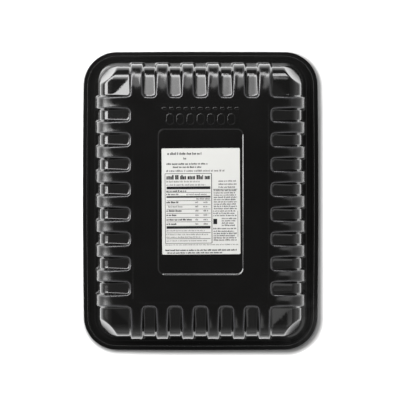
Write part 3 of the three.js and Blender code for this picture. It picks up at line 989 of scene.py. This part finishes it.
def floor_painted_light():
    """White, with a painted shadow and a painted glow set by the distance from the flange's rounded
    outline.
    """
    material, tree, shader = node_material("white_floor_painted_shadow_glow")
    where = tree.nodes.new("ShaderNodeTexCoord")
    shader.inputs["Roughness"].default_value = 0.9
    shader.inputs["Specular IOR Level"].default_value = 0.1
    shader.inputs["Emission Color"].default_value = (1, 1, 1, 1)
    shift = (GLOW_SHIFT * MM, -GLOW_SHIFT * MM, 0)
    place = vector_math(tree, "SUBTRACT", where.outputs["Object"], shift)
    # The third number keeps the height out of the distance.
    centre = ((HALF_X - FLANGE_R) * MM, (HALF_Y - FLANGE_R) * MM, 1.0)
    past = vector_math(tree, "SUBTRACT", vector_math(tree, "ABSOLUTE", place), centre)
    distance = vector_math(tree, "LENGTH", vector_math(tree, "MAXIMUM", past))
    far = mapped(tree, distance, FLANGE_R * MM, (FLANGE_R + GLOW_END) * MM, 0, 1)
    # Painted shadow: the floor's colour is darker near the pack
    link(tree, stops(tree, far, FLOOR_PAINTED_SHADOW_STOPS), shader.inputs["Base Color"])
    # Painted glow: the floor gives off light a little way off the pack
    link(tree, stops(tree, far, PAINTED_GLOW_STOPS), shader.inputs["Emission Strength"])
    return material


floor_points, floor_faces = [], []
floor_reach = (-FLOOR_HALF, FLOOR_HALF)
add_box(floor_points, floor_faces, floor_reach, floor_reach, (-FLOOR_T, -FLOOR_GAP))
floor = make_mesh("floor", floor_points, floor_faces)
floor.data.materials.append(floor_painted_light())

# Camera, far above the pack and a little towards +Y
CAMERA_D, CAMERA_SHIFT = 2.2, 0.035
SENSOR, FRAME_PIXELS, PIXEL_MM = 36, 400, 0.756
camera_data = bpy.data.cameras.new("camera")
camera = bpy.data.objects.new("camera", camera_data)
bpy.context.scene.collection.objects.link(camera)
aim = Vector((-0.45 * MM, 0.74 * MM, 2 * MM))
camera.location = aim + Vector((0, CAMERA_SHIFT, CAMERA_D))
camera.rotation_euler = (-math.atan2(CAMERA_SHIFT, CAMERA_D), 0, 0)
camera_data.sensor_width = SENSOR
camera_data.lens = SENSOR * (aim - camera.location).length / (FRAME_PIXELS * PIXEL_MM * MM)
camera_data.clip_end = 20
bpy.context.scene.camera = camera

# Level lights above the pack: their edges along X and Y in metres at one metre's height, brightness
LIGHT_HEIGHT = 1.2
LEVEL_LIGHTS = {
    "key_low": (-1.0, 0.05, 0.5, 0.95, 11.0),
    "key_high": (-0.17, 0.02, 0.36, 0.5, 5.0),
    "key_middle": (0.02, 0.085, 0.36, 0.5, 3.2),
    "key_left": (-1.0, -0.17, 0.2, 0.5, 11.0),
    "key_edge": (-0.17, 0.1, 0.2, 0.36, 2.2),
    "key_right": (0.05, 0.26, 0.7, 1.5, 9.0),
    "low_right": (0.12, 0.7, -0.7, -0.12, 1.0),
}
# The light at the left fades towards the pack's lower end: edges along Y and brightness of its parts
LEFT_X, LEFT_Z, LEFT_TALL = -1.34, 0.84, 0.75
LEFT_PARTS = [
    (0.005, 0.63, 11.5), (-0.026, 0.005, 6.2), (-0.057, -0.026, 4.6), (-0.09, -0.057, 2.9),
    (-0.125, -0.09, 1.7),
]


def area_light(name, place, size_x, size_y, radiance):
    """A rectangular light, facing down until it is turned; radiance is how bright it looks."""
    data = bpy.data.lights.new(name, "AREA")
    data.shape = "RECTANGLE"
    data.size, data.size_y = size_x, size_y
    data.energy = radiance * math.pi * size_x * size_y
    lamp = bpy.data.objects.new(name, data)
    lamp.location = place
    lamp.visible_camera = False
    bpy.context.scene.collection.objects.link(lamp)
    return lamp


for name, (x0, x1, y0, y1, radiance) in LEVEL_LIGHTS.items():
    middle = Vector(((x0 + x1) / 2, (y0 + y1) / 2, 1)) * LIGHT_HEIGHT
    area_light(name, middle, (x1 - x0) * LIGHT_HEIGHT, (y1 - y0) * LIGHT_HEIGHT, radiance)
for step, (low, high, radiance) in enumerate(LEFT_PARTS):
    middle = Vector((LEFT_X, (low + high) / 2, LEFT_Z))
    lamp = area_light("left_%d" % step, middle, high - low, LEFT_TALL, radiance)
    lamp.rotation_euler = (-middle).to_track_quat("-Z", "Y").to_euler()

# Surroundings: a grey dome, bright near the horizon and dark overhead
DOME_STOPS = [
    (0.0, 1.1), (0.17, 1.0), (0.34, 0.85), (0.64, 0.45), (0.86, 0.22), (0.955, 0.17),
    (0.985, 0.08), (1.0, 0.05),
]
world = bpy.data.worlds.new("studio")
bpy.context.scene.world = world
world.use_nodes = True
world_tree = world.node_tree
background = world_tree.nodes["Background"]
coordinates = world_tree.nodes.new("ShaderNodeTexCoord")
split = world_tree.nodes.new("ShaderNodeSeparateXYZ")
link(world_tree, coordinates.outputs["Generated"], split.inputs["Vector"])
dome = stops(world_tree, split.outputs["Z"], DOME_STOPS)
# It is darker low down on the far side and on the left.
far = mapped(world_tree, split.outputs["Y"], 0.55, 0.9, 1.0, 0.15)
left = mapped(world_tree, split.outputs["X"], -0.9, -0.5, 0.55, 1.0)
dim = world_tree.nodes.new("ShaderNodeMath")
dim.operation = "MULTIPLY"
link(world_tree, far, dim.inputs[0])
link(world_tree, left, dim.inputs[1])
link(world_tree, dome, background.inputs["Color"])
link(world_tree, dim.outputs["Value"], background.inputs["Strength"])

bpy.context.scene.view_settings.view_transform = "Standard"
